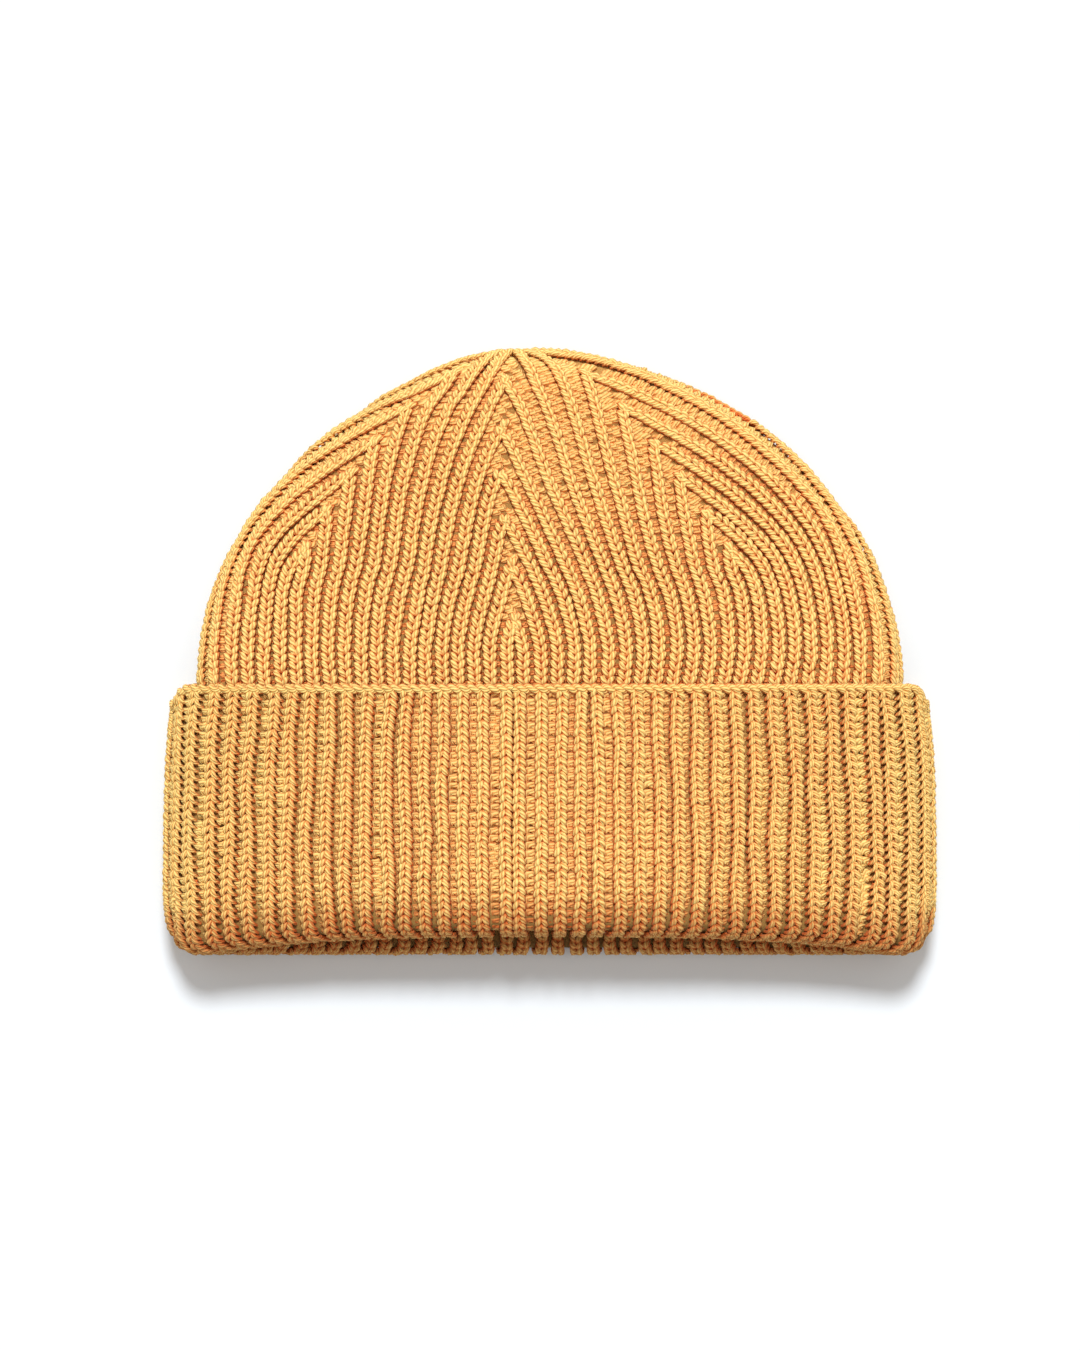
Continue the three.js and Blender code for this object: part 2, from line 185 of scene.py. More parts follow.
# The crown's rows start under the cuff. Its ribs end close to the gores' lines.
CROWN_START = 3  # rows begun below the cuff's top edge
CROWN_SAMPLES = 240  # places along a rib, between which its rows are spaced
CLOTH_START = -8  # of the cloth behind them, below that edge
ENDED = 0.14  # ribs from a gore's line, where a rib ends
NARROWED, NARROWEST = 0.42, 0.5  # ribs from it where it narrows, and its least width
LEAN_FROM, LEAN = 0.55, 0.25  # ribs from it where it leans away, and by how much
LEAN_STARTED = 0.3  # ribs that have ended before any leans
KNIT_SPARE, PURL_SPARE = 0.6 * ROW, 0.2 * ROW  # left free at the apex
LEAST_STRIP = 0.05  # ribs; the narrowest strip along a line that still has purl

# The cuff's rows start at its cast-on edge. At the seam two ribs lie close together.
CUFF_START = EDGE_HEIGHT * 0.6
SEAM_EVEN, SEAM_CLOSE = 0.3, 0.15  # share of unevenness left there, and ribs moved
TOUCHING = 0.72  # ribs from one to the next, where no purl shows between them


def along(table, column, height):
    """A value between the rows of a table, on a smooth curve through them."""
    hs, vs = np.array(table["height"]), np.array(table[column])
    last = len(hs) - 1
    h = np.clip(height, hs[0], hs[-1])
    i = np.searchsorted(hs[1:-1], h, side="left")
    span = hs[i + 1] - hs[i]
    s = (h - hs[i]) / span
    a, b = np.maximum(i - 1, 0), np.minimum(i + 2, last)
    first = (vs[i + 1] - vs[a]) / (hs[i + 1] - hs[a])
    second = (vs[b] - vs[i]) / (hs[b] - hs[i])
    return (
        (1 + 2 * s) * (1 - s) ** 2 * vs[i]
        + s * (1 - s) ** 2 * span * first
        + s * s * (3 - 2 * s) * vs[i + 1]
        + s * s * (s - 1) * span * second
    )


def smooth(x, low, high):
    """From 0 at low to 1 at high, without a kink at either."""
    t = np.clip((x - low) / (high - low), 0, 1)
    return t * t * (3 - 2 * t)


def unit(v):
    return v / np.maximum(np.linalg.norm(v, axis=-1, keepdims=True), 1e-9)


def lengths(at):
    """How far each point of a curve lies along it."""
    gone = np.zeros(at.shape[:-1])
    gone[..., 1:] = np.cumsum(np.linalg.norm(np.diff(at, axis=-2), axis=-1), -1)
    return gone


def outline(angle):
    """The crown's outline from the front, from its right (0) to its left (pi)."""
    up = np.sin(angle)
    return HALF_WIDTH * np.cos(angle) * (1 - OUTLINE_TAPER * up**3), RISE * up


def row_at(path):
    """One row of the knit, at a distance along the wall from the cuff's top edge."""
    turned = np.maximum(0, (path - PATH_FLAT) / TOP_BEND)
    flat = np.clip(path, 0, PATH_FLAT)
    height = (flat + TOP_BEND * np.sin(turned)) / RISE
    climb = 2 / math.pi * np.arcsin(np.minimum(height, 1)) + SIDE_LIFT * height * (1 - height)
    right = outline(APEX_ANGLE * climb)
    left = outline(math.pi - (math.pi - APEX_ANGLE) * climb)
    half = (right[0] - left[0]) / 2
    return {
        "height": height,
        "left": left,
        "right": right,
        "half": half,
        "middle": (right[0] + left[0]) / 2,
        "y": height * RISE * math.sin(APEX_ANGLE),
        "bend": np.minimum(SIDE_BEND, EDGE_SHARE * half),
        "swell": np.cos(turned),
        "dome": DOME_RISE * along(CROWN_SHAPE, "dome", height),
        "floor": WALL / 2 + LAYER * np.maximum(0, along(CROWN_SHAPE, "rest", height)),
    }


def round_the_row(row, gore, share):
    """Where a place between two gore lines lies round a row."""
    start_line, end_line, _, _, side = GORE_LINES[gore]
    start = along(CROWN_SHAPE, start_line, row["height"])
    end = along(CROWN_SHAPE, end_line, row["height"])
    if not side:
        x = row["middle"] + row["half"] * (start + (end - start) * share)
        upper, zero = np.full(x.shape, gore < UPPER_GORES), np.zeros_like(x)
        return {"x": x, "upper": upper, "turn": zero, "reach": zero, "side": 1}
    quarter = math.pi / 2 * row["bend"]
    straight_a = row["half"] * (1 - np.abs(start)) - row["bend"]
    straight_b = row["half"] * (1 - np.abs(end)) - row["bend"]
    first, second = straight_a + quarter, straight_b + quarter
    gone = share * (first + second)
    before = gone < first
    from_line = np.where(before, gone, first + second - gone)
    straight = np.where(before, straight_a, straight_b)
    line = np.abs(np.where(before, start, end))
    turn = np.maximum(0, from_line - straight) / row["bend"]
    out = row["half"] * line + np.minimum(from_line, straight) + row["bend"] * np.sin(turn)
    return {
        "x": row["middle"] + side * out,
        "upper": before == (side > 0),
        "turn": turn,
        "reach": np.clip(from_line / np.where(before, first, second), 0, 1),
        "side": side,
    }


def crown_middle(gore, share, path):
    """A point of the middle of the crown's wall, at a share of a gore's width."""
    row = row_at(path)
    place = round_the_row(row, gore, share)
    fold_y = (row["right"] if place["side"] > 0 else row["left"])[1]
    y = row["y"] + (fold_y - row["y"]) * place["reach"] ** LIFT_BEND
    across = (place["x"] - row["middle"]) / row["half"]
    bulge = row["dome"] * np.maximum(0, 1 - across**2)
    rise = SIDE_BEND * np.cos(place["turn"]) + np.where(place["upper"], bulge, 0)
    z = row["floor"] + SIDE_BEND + np.where(place["upper"], 1, -1) * rise * row["swell"]
    return np.stack([place["x"], CUFF_TOP + y + np.minimum(path, 0), z], -1)


def crown_surface(gore, share, path):
    """The middle of the crown's wall and its outward normal."""
    step = 0.004
    a = crown_middle(gore, np.maximum(share - step, 0), path)
    b = crown_middle(gore, np.minimum(share + step, 1), path)
    c = crown_middle(gore, share, path - RISE * step)
    d = crown_middle(gore, share, path + RISE * step)
    return crown_middle(gore, share, path), unit(np.cross(b - a, d - c))


def ended(gore, height):
    """How many ribs of a gore have ended at its first and last line by a row."""
    first, last = GORE_LINES[gore][2:4]
    most = (RIBS_PER_GORE - RIBS_LEFT_AT_APEX) / 2
    gone = [np.maximum(0, (height - start) / (1 - start)) for start in (first, last)]
    return [most * t * t * (1 + ENDING_BEND) / (t + ENDING_BEND) for t in gone]


def crown_gore(gore, u, path, depth):
    """A point of the crown's outer face: u counts ribs from the gore's first line."""
    path = np.minimum(path, PATH_END - PATH_SPARE)
    row = row_at(path)
    first, last = ended(gore, row["height"])
    left = RIBS_PER_GORE - first - last
    before, after = u - first, RIBS_PER_GORE - last - u
    at, normal = crown_surface(gore, np.clip(before / left, 0, 1), path)
    from_line = np.minimum(np.abs(before), np.abs(after))
    started = smooth(row["height"], CREASE_FROM, CREASE_FULL)
    sunk = started * LINE_CREASE * np.clip(1 - from_line, 0, 1)
    gathered = GATHERED * smooth(row["height"], GATHERED_FROM, 1)
    return at + normal * (WALL / 2 + depth - sunk + gathered)[..., None], normal, before, after


def crown_wale(gore, u, path, depth):
    """A point and the normal there; past the gore's lines it lies in the next gore."""
    u, path, depth = np.broadcast_arrays(u, path, depth)
    at, normal, before, after = crown_gore(gore, u, path, depth)
    for beyond, step in ((before, -1), (after, 1)):
        past = beyond < 0
        if not past.any():
            continue
        other = (gore + step) % GORES
        first, last = ended(other, row_at(path[past])["height"])
        inside = first - beyond[past] if step > 0 else RIBS_PER_GORE - last + beyond[past]
        at[past], normal[past] = crown_gore(other, inside, path[past], depth[past])[:2]
    return at, normal


def round_the_cuff(row, rib):
    """Where a rib lies round the cuff; they are even, and the seam keeps its place."""
    straight = row["half"] - row["bend"]
    whole = 4 * straight + 2 * math.pi * row["bend"]
    seam = along(CROWN_SHAPE, "seam", 0.0) * row["half"]
    gone = (seam + (rib - RIBS_PER_GORE) / ALL_RIBS * whole) % whole
    side = np.where(gone < whole / 2, 1, -1)
    gone = np.minimum(gone, whole - gone)
    upper = gone < whole / 4
    gone = np.where(upper, gone, whole / 2 - gone)
    turn = np.maximum(0, gone - straight) / row["bend"]
    out = np.minimum(gone, straight) + row["bend"] * np.sin(turn)
    return {"x": row["middle"] + side * out, "upper": upper, "turn": turn}


def tube_point(rib, up, out):
    """The straight tube below the crown, as in the solids' source."""
    row = row_at(np.zeros(1))
    slack = SIDE_SLACK * smooth(out, WALL / 2, LAYER - WALL / 2)
    row["half"] = row["half"] * along(CUFF_SHAPE, "width", up / CUFF_HEIGHT) + out + slack
    row["bend"] = SIDE_BEND + out
    place = round_the_cuff(row, rib)
    across = (place["x"] - row["middle"]) / row["half"]
    bulge = np.where(place["upper"], row["dome"] * np.maximum(0, 1 - across**2), 0)
    drawn = np.where(place["upper"], MOUTH_RISE * np.maximum(0, 1 - np.abs(across) ** 3), 0)
    y = MOUTH + drawn + up * (1 - drawn / CUFF_HEIGHT)
    droop = MOUTH_DROOP * np.exp(-up / DROOP_LENGTH) * np.maximum(0, 1 - across**4)
    rise = row["bend"] * np.cos(place["turn"]) + bulge - np.where(place["upper"], droop, 0)
    z = row["floor"] + SIDE_BEND + np.where(place["upper"], rise, -rise)
    return np.stack([place["x"], y, z], -1)


def cuff_wale(gore, u, path, depth):
    """A point of the cuff: path runs down its face, round the fold and up inside."""
    u, path, depth = np.broadcast_arrays(u, path, depth)
    angle = np.clip((path - FACE) / TURN_AT, 0, math.pi)
    beyond = np.maximum(0, path - FACE - math.pi * TURN_AT)
    radius = TURN_AT + depth
    up = CUFF_HEIGHT - np.minimum(path, FACE) - radius * np.sin(angle) + beyond
    out = FOLD_RADIUS + radius * np.cos(angle)
    rib = gore * RIBS_PER_GORE + u
    at = tube_point(rib, up, out)
    step = 0.3
    outwards = tube_point(rib, up - np.sin(angle) * step, out + np.cos(angle) * step)
    normal = unit(outwards - at)
    lowered = smooth(path, 0, CORNER_FADE) - 1
    raised = LOW_DROP * smooth(path, FACE - LOW_FADE, FACE)
    for corner, share in ((CORNER, lowered), (LOW_CORNER, raised)):
        inward = np.clip(corner - CUFF_HALF + np.abs(at[..., 0]), 0, corner)
        at[..., 1] += (corner - np.sqrt(corner**2 - inward**2)) * share
    return at, normal


def pitch_at(wale, gore, u, path):
    """How wide a rib is at a place."""
    step, least = 0.2, 1.0
    zero = np.zeros_like(u)
    a, _ = wale(gore, u - step, path, zero)
    b, _ = wale(gore, u + step, path, zero)
    return np.maximum(np.linalg.norm(b - a, axis=-1) / (2 * step), least)


def closed(normal):
    """How much painted shade the hollows keep: less where the knit bends round a side, and
    opens.
    """
    return OPEN_SHADE + (1 - OPEN_SHADE) * smooth(np.abs(normal[..., 2]), 0.3, 1)


def folded(wale, path):
    """How far a place is into the cuff's fold, from 0 to 1."""
    if wale is cuff_wale:
        return smooth(path, FACE - FOLD_BEFORE, FACE + FOLD_BEYOND)
    return np.zeros_like(path)


def new_store():
    """Points, faces, places along and round the yarn, its tone and its painted shade, for one
    mesh.
    """
    return {"verts": [], "faces": [], "uv": [], "tone": [], "sunk": [], "painted_fold_dimming": [], "count": 0}


def add(store, verts, faces, uv, tone, sunk, painted_fold_dimming):
    """Adds points and their faces, which count from the first of these points."""
    shape = verts.shape[:-1]
    store["verts"].append(verts.reshape(-1, 3))
    store["faces"].append(faces.reshape(-1, 4) + store["count"])
    store["uv"].append(uv.reshape(-1, 2))
    for layer, values in (("tone", tone), ("sunk", sunk), ("painted_fold_dimming", painted_fold_dimming)):
        store[layer].append(np.broadcast_to(values, shape).ravel())
    store["count"] += math.prod(shape)


def tubes(wale, gore, u, path, depth, radius):
    """Yarn along curves given in a wale's own terms. Each array is (curves, points)."""
    at, normal = wale(gore, u, path, depth)
    along_it = unit(np.gradient(at, axis=1))
    across = unit(np.cross(along_it, normal))
    lifted = np.cross(across, along_it)
    angle = (np.arange(YARN_SIDES) + 0.5) * 2 * math.pi / YARN_SIDES
    high = YARN_HIGH * np.cos(angle)[:, None]
    wide = YARN_WIDE * np.sin(angle)[:, None]
    ring = high * lifted[:, :, None] + wide * across[:, :, None]
    verts = at[:, :, None] + ring * radius[:, :, None, None]
    # Painted shade: each point's depth, made deeper at the yarn's sides and less deep where the
    # knit opens, sets how dark and red its colour is.
    sunk = np.broadcast_to(depth, radius.shape)[:, :, None]
    sunk = sunk + np.cos(angle) * radius[:, :, None] * YARN_HIGH
    sunk = sunk - RIM_SHADE * (1 - np.cos(angle))
    return verts, lengths(at), sunk * closed(normal)[:, :, None]


def add_tubes(store, verts, gone, sunk, tone, painted_fold_dimming=1.0):
    """Adds tubes to a store, each with its own tone and a chance place for its plies."""
    n, k, m, _ = verts.shape
    index = np.arange(n * k * m).reshape(n, k, m)
    after = np.roll(index, -1, axis=2)
    faces = np.stack([index[:, :-1], index[:, 1:], after[:, 1:], after[:, :-1]], -1)
    offset = rng.random((n, 1, 1)) * 3
    near = np.broadcast_to(np.arange(m) / m, (n, k - 1, m))
    far = near + 1 / m
    start = np.broadcast_to(gone[:, :-1, None], near.shape) + offset
    end = np.broadcast_to(gone[:, 1:, None], near.shape) + offset
    corners = ((start, near), (end, near), (end, far), (start, far))
    uv = np.stack([np.stack(corner, -1) for corner in corners], 3)
    # Painted shade: how much the fold's colour is dimmed.
    painted_fold_dimming = np.broadcast_to(painted_fold_dimming, (n, k))[:, :, None]
    add(store, verts, faces, uv, tone[:, None, None], sunk, painted_fold_dimming)


def knit_rows(store, wale, gore, columns, path, reach_at, narrow=1.0, per_row=ROW):
    """Knit stitches at column centres (ribs) and distances along their wales."""
    per_row = np.broadcast_to(per_row, path.shape)[:, None]
    n = len(columns)
    pitch = pitch_at(wale, gore, columns, path)
    reach = reach_at(pitch) * narrow
    slant = rng.normal(0, LEG_SLANT, n)
    # How much painted shade the hollows keep where the knit opens.
    dark = closed(wale(gore, columns, path, 0.0)[1])[:, None]
    for side in (-1, 1):
        fat = YARN * (1 + rng.normal(0, LEG_FAT, n))
        lift = rng.normal(0, LEG_LIFT, n)
        wide = reach * (1 + rng.normal(0, LEG_WIDE, n))
        across = side * LEG_ACROSS * wide[:, None] + slant[:, None]
        u = columns[:, None] + across / pitch[:, None]
        p = path[:, None] + (LEG_ALONG + rng.normal(0, LEG_SLIP, (n, 1))) * per_row
        depth = (LEG_DEPTH - 1) * YARN + lift[:, None]
        verts, gone, sunk = tubes(wale, gore, u, p, depth, LEG_RADIUS * fat[:, None])
        # Painted shade: darker at the base of each leg and in the fold, where the colour is also
        # dimmed.
        inside = folded(wale, p)
        sunk = sunk + (LEG_SHADE * dark - FOLD_SHADE * inside)[:, :, None]
        add_tubes(store, verts, gone, sunk, rng.random(n), 1 - PAINTED_FOLD_DIMMING * inside)


def purl_rows(store, wale, gore, low, high, path, depths, shades, rise=0.0, per_row=ROW):
    """Purl bumps across gutters, from low to high (ribs). Narrow ones lie deeper."""
    per_row = np.broadcast_to(per_row, path.shape)
    middle = (low + high) / 2
    width = (high - low) * pitch_at(wale, gore, middle, path)
    count = np.ceil(np.maximum(width, 0.1) / BUMP_WIDTH)
    # How much of its depth a gutter's purl shows as painted shade.
    dark = closed(wale(gore, middle, path, 0.0)[1]) * np.interp(width, SHADED_GUTTERS, shades)
    top = rise - np.interp(width, GUTTERS, depths) - FOLD_GROOVE * folded(wale, path)
    thick = np.interp(width, GUTTERS, PURL_FAT)
    for k in range(int(count.max())):
        has = count > k
        n = has.sum()
        share = (k + BUMP_ACROSS) / count[has][:, None]
        fat = thick[has][:, None] * (1 + rng.normal(0, BUMP_FAT, (n, 1)))
        u = low[has][:, None] + share * (high - low)[has][:, None]
        slip = rng.normal(0, BUMP_SLIP, (n, 1)) + BUMP_STAGGER * (k % 2)
        p = path[has][:, None] + (BUMP_ALONG + slip) * per_row[has][:, None]
        own = top[has][:, None] + rng.normal(0, BUMP_LIFT, (n, 1))
        depth = own + BUMP_DEPTH * YARN - fat * YARN_HIGH
        verts, gone, sunk = tubes(wale, gore, u, p, depth, fat * BUMP_RADIUS)
        inside = folded(wale, p)
        # Painted shade: darker with its depth and in the fold, and dimmed in the fold.
        shade = own * dark[has][:, None] - FOLD_SHADE * inside
        sunk = (sunk - own[:, :, None]) * BUMP_RELIEF + shade[:, :, None]
        add_tubes(store, verts, gone, sunk, rng.random(n), 1 - PAINTED_FOLD_DIMMING * inside)


def backing(wale, gore, start, end):
    """The cloth behind the stitches of a gore."""
    store = new_store()
    u = np.arange(0, RIBS_PER_GORE * BACKING_PER_RIB + 1) / BACKING_PER_RIB
    u, path = np.meshgrid(u, np.linspace(start, end, BACKING_ROWS))
    if wale is crown_wale:
        first, last = ended(gore, row_at(path)["height"])
        u = np.clip(u, first, RIBS_PER_GORE - last)
    at, _ = wale(gore, u, path, BACKING_DEPTH)
    index = np.arange(u.size).reshape(u.shape)
    faces = np.stack([index[:-1, :-1], index[:-1, 1:], index[1:, 1:], index[1:, :-1]], -1)
    uv = np.stack([u, path], -1).reshape(-1, 2)[faces]
    # Painted shade: a little on all the cloth, and more in the fold, where it is also dimmed.
    add(store, at, faces, uv, 0.5, BACKING_SUNK, 1 - PAINTED_FOLD_DIMMING * folded(wale, path))
    return store


def build(name, store, node, material):
    """A mesh object from a store, standing for a CAD node."""
    verts = (np.concatenate(store["verts"]) + SHIFT) * 0.001
    faces = np.concatenate(store["faces"])
    me = bpy.data.meshes.new(name)
    me.vertices.add(len(verts))
    me.vertices.foreach_set("co", verts.astype(np.float32).ravel())
    me.loops.add(faces.size)
    me.loops.foreach_set("vertex_index", faces.astype(np.int32).ravel())
    me.polygons.add(len(faces))
    me.polygons.foreach_set("loop_start", np.arange(0, faces.size, 4, dtype=np.int32))
    me.update(calc_edges=True)
    uv = np.concatenate(store["uv"]).astype(np.float32)
    me.uv_layers.new(name="yarn").uv.foreach_set("vector", uv.ravel())
    for layer in ("tone", "sunk", "painted_fold_dimming"):
        values = np.concatenate(store[layer]).astype(np.float32)
        me.attributes.new(layer, "FLOAT", "POINT").data.foreach_set("value", values)
    me.shade_smooth()
    me.materials.append(material)
    ob = bpy.data.objects.new(name, me)
    bpy.context.scene.collection.objects.link(ob)
    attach(ob, "root")
    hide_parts(node)


def wool(name, base, deep):
    """Plied wool yarn: twist along the yarn, fine fibres, a warm sheen, and painted shade
    between the plies, in the hollows and at the fold.
    """
    mat = bpy.data.materials.new(name)
    mat.use_nodes = True
    nt = mat.node_tree
    bsdf = nt.nodes["Principled BSDF"]
    bsdf.inputs["Roughness"].default_value = 0.88
    bsdf.inputs["Specular IOR Level"].default_value = 0.12
    bsdf.inputs["Sheen Weight"].default_value = 0.1
    bsdf.inputs["Sheen Roughness"].default_value = 0.45
    bsdf.inputs["Sheen Tint"].default_value = (1.0, 0.82, 0.5, 1)

    def node(kind, **values):
        n = nt.nodes.new(kind)
        for key, value in values.items():
            if key in n.inputs:
                n.inputs[key].default_value = value
            else:
                setattr(n, key, value)
        return n

    def math_node(kind, *values):
        n = node("ShaderNodeMath", operation=kind)
        for socket, value in zip(n.inputs, values):
            if isinstance(value, (int, float)):
                socket.default_value = value
            else:
                nt.links.new(value, socket)
        return n.outputs[0]

    def noise(**values):
        n = node("ShaderNodeTexNoise", **values)
        nt.links.new(coords.outputs["Object"], n.inputs["Vector"])
        return n.outputs[0]

    def attribute(layer):
        return node("ShaderNodeAttribute", attribute_name=layer).outputs["Fac"]

    # The plies: how often they turn along the yarn and round it.
    coords = node("ShaderNodeTexCoord")
    split = node("ShaderNodeSeparateXYZ")
    nt.links.new(node("ShaderNodeUVMap", uv_map="yarn").outputs[0], split.inputs[0])
    ply_length, plies, wander = 8.5, 6, 0.16
    turns = math_node("ADD", math_node("DIVIDE", split.outputs[0], ply_length), split.outputs[1])
    turns = math_node("MULTIPLY_ADD", noise(Scale=420.0, Detail=2.0), wander, turns)
    wave = math_node("SINE", math_node("MULTIPLY", turns, 2 * math.pi * plies))
    ply = math_node("POWER", math_node("MULTIPLY_ADD", wave, 0.5, 0.5), 0.7)
    fibre = noise(Scale=2600.0, Detail=3.0, Roughness=0.7)

    # Their colour, from shares of the plies, fibres, stitches and patches of tone. The dark
    # between the plies is painted shade in their grooves; the rest varies at random.
    shade = math_node("MULTIPLY", ply, 0.6)
    patch = noise(Scale=70.0, Detail=2.0)
    for part, share in ((fibre, 0.44), (attribute("tone"), 0.14), (patch, 0.14)):
        shade = math_node("MULTIPLY_ADD", part, share, shade)
    ramp = node("ShaderNodeValToRGB")
    for element, position, colour in zip(ramp.color_ramp.elements, (0.25, 0.86), (deep, base)):
        element.position = position
        element.color = (*colour, 1)
    nt.links.new(shade, ramp.inputs[0])

    # Painted shade: redder in the hollows, and dimmed at the fold.
    rise = node("ShaderNodeMapRange", interpolation_type="SMOOTHSTEP")
    rise.inputs["From Min"].default_value = SUNK_DARK
    rise.inputs["From Max"].default_value = SUNK_LIGHT
    nt.links.new(attribute("sunk"), rise.inputs["Value"])
    mix = node("ShaderNodeMix", data_type="RGBA")
    mix_a, mix_b, mixed = mix.inputs[6], mix.inputs[7], mix.outputs[2]
    nt.links.new(rise.outputs[0], mix.inputs["Factor"])
    mix_a.default_value = (*PAINTED_HOLLOW_SHADE, 1)
    nt.links.new(ramp.outputs[0], mix_b)
    dimmed = node("ShaderNodeVectorMath", operation="SCALE")
    nt.links.new(mixed, dimmed.inputs[0])
    nt.links.new(attribute("painted_fold_dimming"), dimmed.inputs["Scale"])
    nt.links.new(dimmed.outputs[0], bsdf.inputs["Base Color"])

    bump = node("ShaderNodeBump", Strength=1.0, Distance=0.00025)
    nt.links.new(math_node("MULTIPLY_ADD", fibre, 0.3, ply), bump.inputs["Height"])
    nt.links.new(bump.outputs[0], bsdf.inputs["Normal"])
    return mat


crown_wool = wool("crown_wool", (0.97, 0.745, 0.265), (0.89, 0.35, 0.07))
cuff_wool = wool("cuff_wool", (0.97, 0.745, 0.265), (0.89, 0.35, 0.07))
edge_wool = wool("edge_wool", (0.97, 0.73, 0.26), (0.88, 0.38, 0.08))
# The cloth behind the stitches is a darker, redder copy of the wool: painted shade.
shaded_back_wool = wool("shaded_back_wool", (0.94, 0.58, 0.17), (0.85, 0.33, 0.07))


def uneven(spread, wander, rows):
    """How far all the ribs lie from their even places (ribs), for each rib and row."""
    rib, row = np.meshgrid(np.arange(ALL_RIBS), np.arange(rows), indexing="ij")
    drift = np.zeros(rib.shape)
    for around, length in WAVES:
        turn = rng.random(2) * 2 * math.pi
        across = np.sin(rib * 2 * math.pi * around / ALL_RIBS + turn[0])
        drift += across * np.sin(row * 2 * math.pi / length + turn[1])
    return rng.normal(0, spread, (ALL_RIBS, 1)) + wander * drift


def crown_reach(pitch):
    """How far a knit leg of the crown reaches from its column's middle."""
    reach = np.clip(0.9 * pitch / 2 - 0.85 * YARN, LEAST_REACH, CROWN_REACH)
    return reach - STRETCH_LOSS * np.clip(pitch - STRETCHED, 0, 1)


def cuff_reach(pitch):
    """The same on the cuff."""
    return np.clip(0.78 * pitch / 2 - YARN, LEAST_REACH, CUFF_REACH)


def column_half(pitch, reach_at):
    """Half the width of a knit column, in ribs."""
    return (reach_at(pitch) + YARN * 0.8) / pitch


# The crown, a gore at a time.
crown_paths = np.linspace(-CROWN_START * ROW, PATH_END, CROWN_SAMPLES)
crown_rows = int(PATH_END / ROW) + CROWN_START + 2
crown_shift = uneven(spread=0.03, wander=0.02, rows=crown_rows)
crown_step = rng.normal(0, STEP_SPREAD, ALL_RIBS)


def spaced_rows(gore, u):
    """Rows a stitch apart on the cloth, along places u, and the path a row takes there."""
    at, _ = crown_wale(gore, u, crown_paths, np.zeros_like(crown_paths))
    gone = lengths(at)
    path = np.interp(np.arange(0, gone[-1] - 0.3 * ROW, ROW), gone, crown_paths)
    return path, np.gradient(path)


def rib_at(gore, rib, path):
    """A rib's centre in the terms of a gore, and how far it is from the nearer line."""
    whole = (gore * RIBS_PER_GORE + rib) % ALL_RIBS
    first, last = ended(whole // RIBS_PER_GORE, row_at(path)["height"])
    row = np.clip((path / ROW).astype(int) + CROWN_START, 0, crown_rows - 1)
    centre = rib % RIBS_PER_GORE + 0.5 + crown_shift[whole, row]
    before, after = centre - first, RIBS_PER_GORE - last - centre
    lean = np.maximum(0, LEAN_FROM - after) - np.maximum(0, LEAN_FROM - before)
    lean = np.where(first + last > LEAN_STARTED, LEAN, 0) * lean
    return centre + lean, np.minimum(before, after)


def crown_column(store, gore, rib):
    """The knit stitches of one rib."""
    path, per_row = spaced_rows(gore, np.full(crown_paths.shape, rib + 0.5))
    path = path + crown_step[gore * RIBS_PER_GORE + rib] * per_row
    centre, from_line = rib_at(gore, rib, path)
    keep = (from_line > ENDED) & (path < PATH_END - KNIT_SPARE)
    if keep.any():
        narrow = np.clip(from_line / NARROWED, NARROWEST, 1)[keep]
        place = centre[keep], path[keep]
        knit_rows(store, crown_wale, gore, *place, crown_reach, narrow, per_row[keep])


def crown_purl(store, gore, low, high, path, per_row, keep):
    """Purl from low to high, at the rows to keep."""
    keep = keep & (path < PATH_END - PURL_SPARE)
    if keep.any():
        place, per_row = (low[keep], high[keep], path[keep]), per_row[keep]
        purl_rows(store, crown_wale, gore, *place, CROWN_PURL, CROWN_SHADES, per_row=per_row)


def crown_gutter(store, gore, rib):
    """The gutter between a rib and the one before it."""
    path, per_row = spaced_rows(gore, np.full(crown_paths.shape, rib))
    path = path + 0.5 * per_row
    low, low_from = rib_at(gore, rib - 1, path)
    high, high_from = rib_at(gore, rib, path)
    half = column_half(pitch_at(crown_wale, gore, (low + high) / 2, path), crown_reach)
    keep = np.minimum(low_from, high_from) > ENDED
    crown_purl(store, gore, low + half, high - half, path, per_row, keep)


def crown_line(store, gore):
    """The strip along a gore's first line, between the last ribs that have not ended."""
    path, per_row = spaced_rows(gore, ended(gore, row_at(crown_paths)["height"])[0])
    path = path + 0.5 * per_row
    height = row_at(path)["height"]
    neighbour = (gore - 1) % GORES
    first, last = ended(gore, height)[0], ended(neighbour, height)[1]
    before, after = np.full(len(path), np.inf), np.full(len(path), np.inf)
    for rib in range(RIBS_PER_GORE):
        centre, from_line = rib_at(gore, rib, path)
        after = np.where(from_line > ENDED, np.minimum(after, centre - first), after)
        centre, from_line = rib_at(neighbour, rib, path)
        beside = np.minimum(before, RIBS_PER_GORE - last - centre)
        before = np.where(from_line > ENDED, beside, before)
    half = column_half(pitch_at(crown_wale, gore, first, path), crown_reach)
    low, high = first - before + half, first + after - half
    crown_purl(store, gore, low, high, path, per_row, high - low > LEAST_STRIP)


for gore in range(GORES):
    stitches = new_store()
    for rib in range(RIBS_PER_GORE):
        crown_column(stitches, gore, rib)
        if rib:
            crown_gutter(stitches, gore, rib)
    crown_line(stitches, gore)
    build(f"crown_stitches_{gore + 1}", stitches, "crown", crown_wool)
    cloth = backing(crown_wale, gore, CLOTH_START, PATH_END - PATH_SPARE)
    build(f"crown_backing_{gore + 1}", cloth, "crown", shaded_back_wool)

